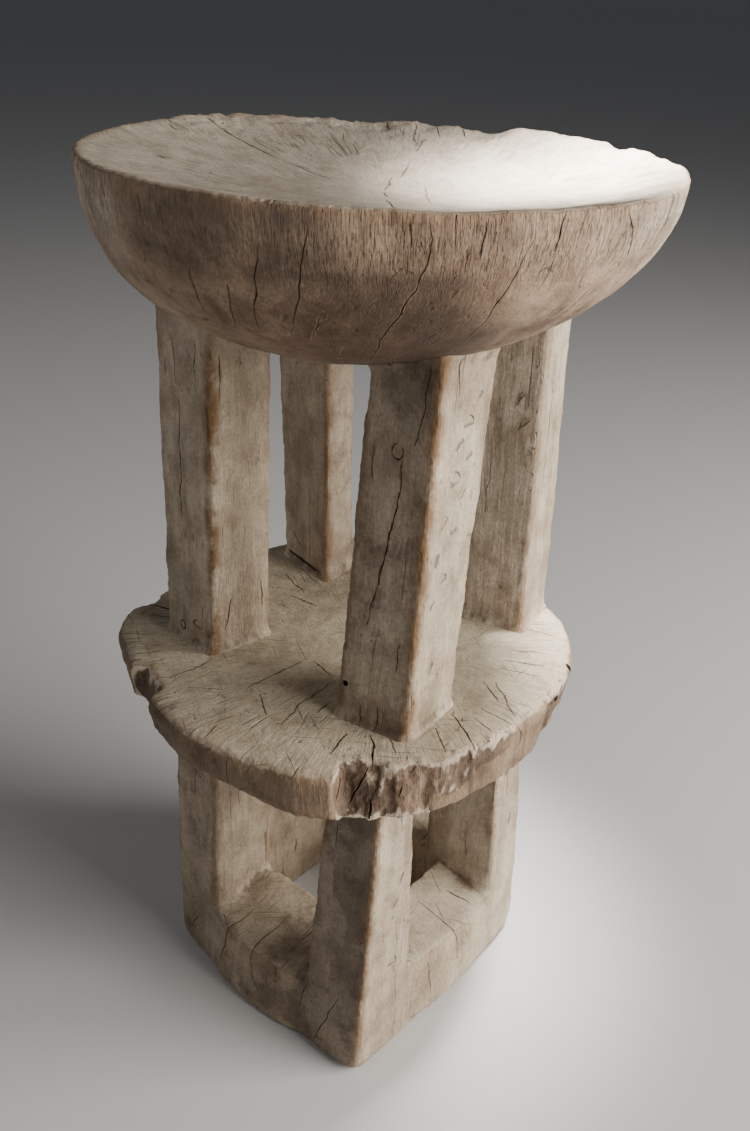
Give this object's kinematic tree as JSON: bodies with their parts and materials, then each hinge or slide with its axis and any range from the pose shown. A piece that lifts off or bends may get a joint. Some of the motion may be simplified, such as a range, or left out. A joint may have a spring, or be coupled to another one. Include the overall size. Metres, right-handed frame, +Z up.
{
  "type": "carved wooden stool",
  "caption": "Two-tier hand-carved wooden stool: dished round seat on leaning square legs, a round middle disc, lower legs and a square open foot ring.",
  "frame": {"origin": "on the ground, under the middle of the seat, which is the widest part", "axes": "+Z up; X and Y along the sides of the square foot, the front left corner of the foot at -X, -Y"},
  "size_m": [0.2605, 0.2602, 0.4624],
  "materials": {
    "weathered_wood": "dry, weathered bare wood"
  },
  "bodies": {
    "root": {"seat_bowl": "weathered_wood", "upper_leg_front_left": "weathered_wood", "upper_leg_front_right": "weathered_wood", "upper_leg_back_right": "weathered_wood", "upper_leg_back_left": "weathered_wood", "middle_disc": "weathered_wood", "lower_leg_front_left": "weathered_wood", "lower_leg_front_right": "weathered_wood", "lower_leg_back_right": "weathered_wood", "lower_leg_back_left": "weathered_wood", "base_rail_front": "weathered_wood", "base_rail_right": "weathered_wood", "base_rail_back": "weathered_wood", "base_rail_left": "weathered_wood"}
  },
  "joints": []
}
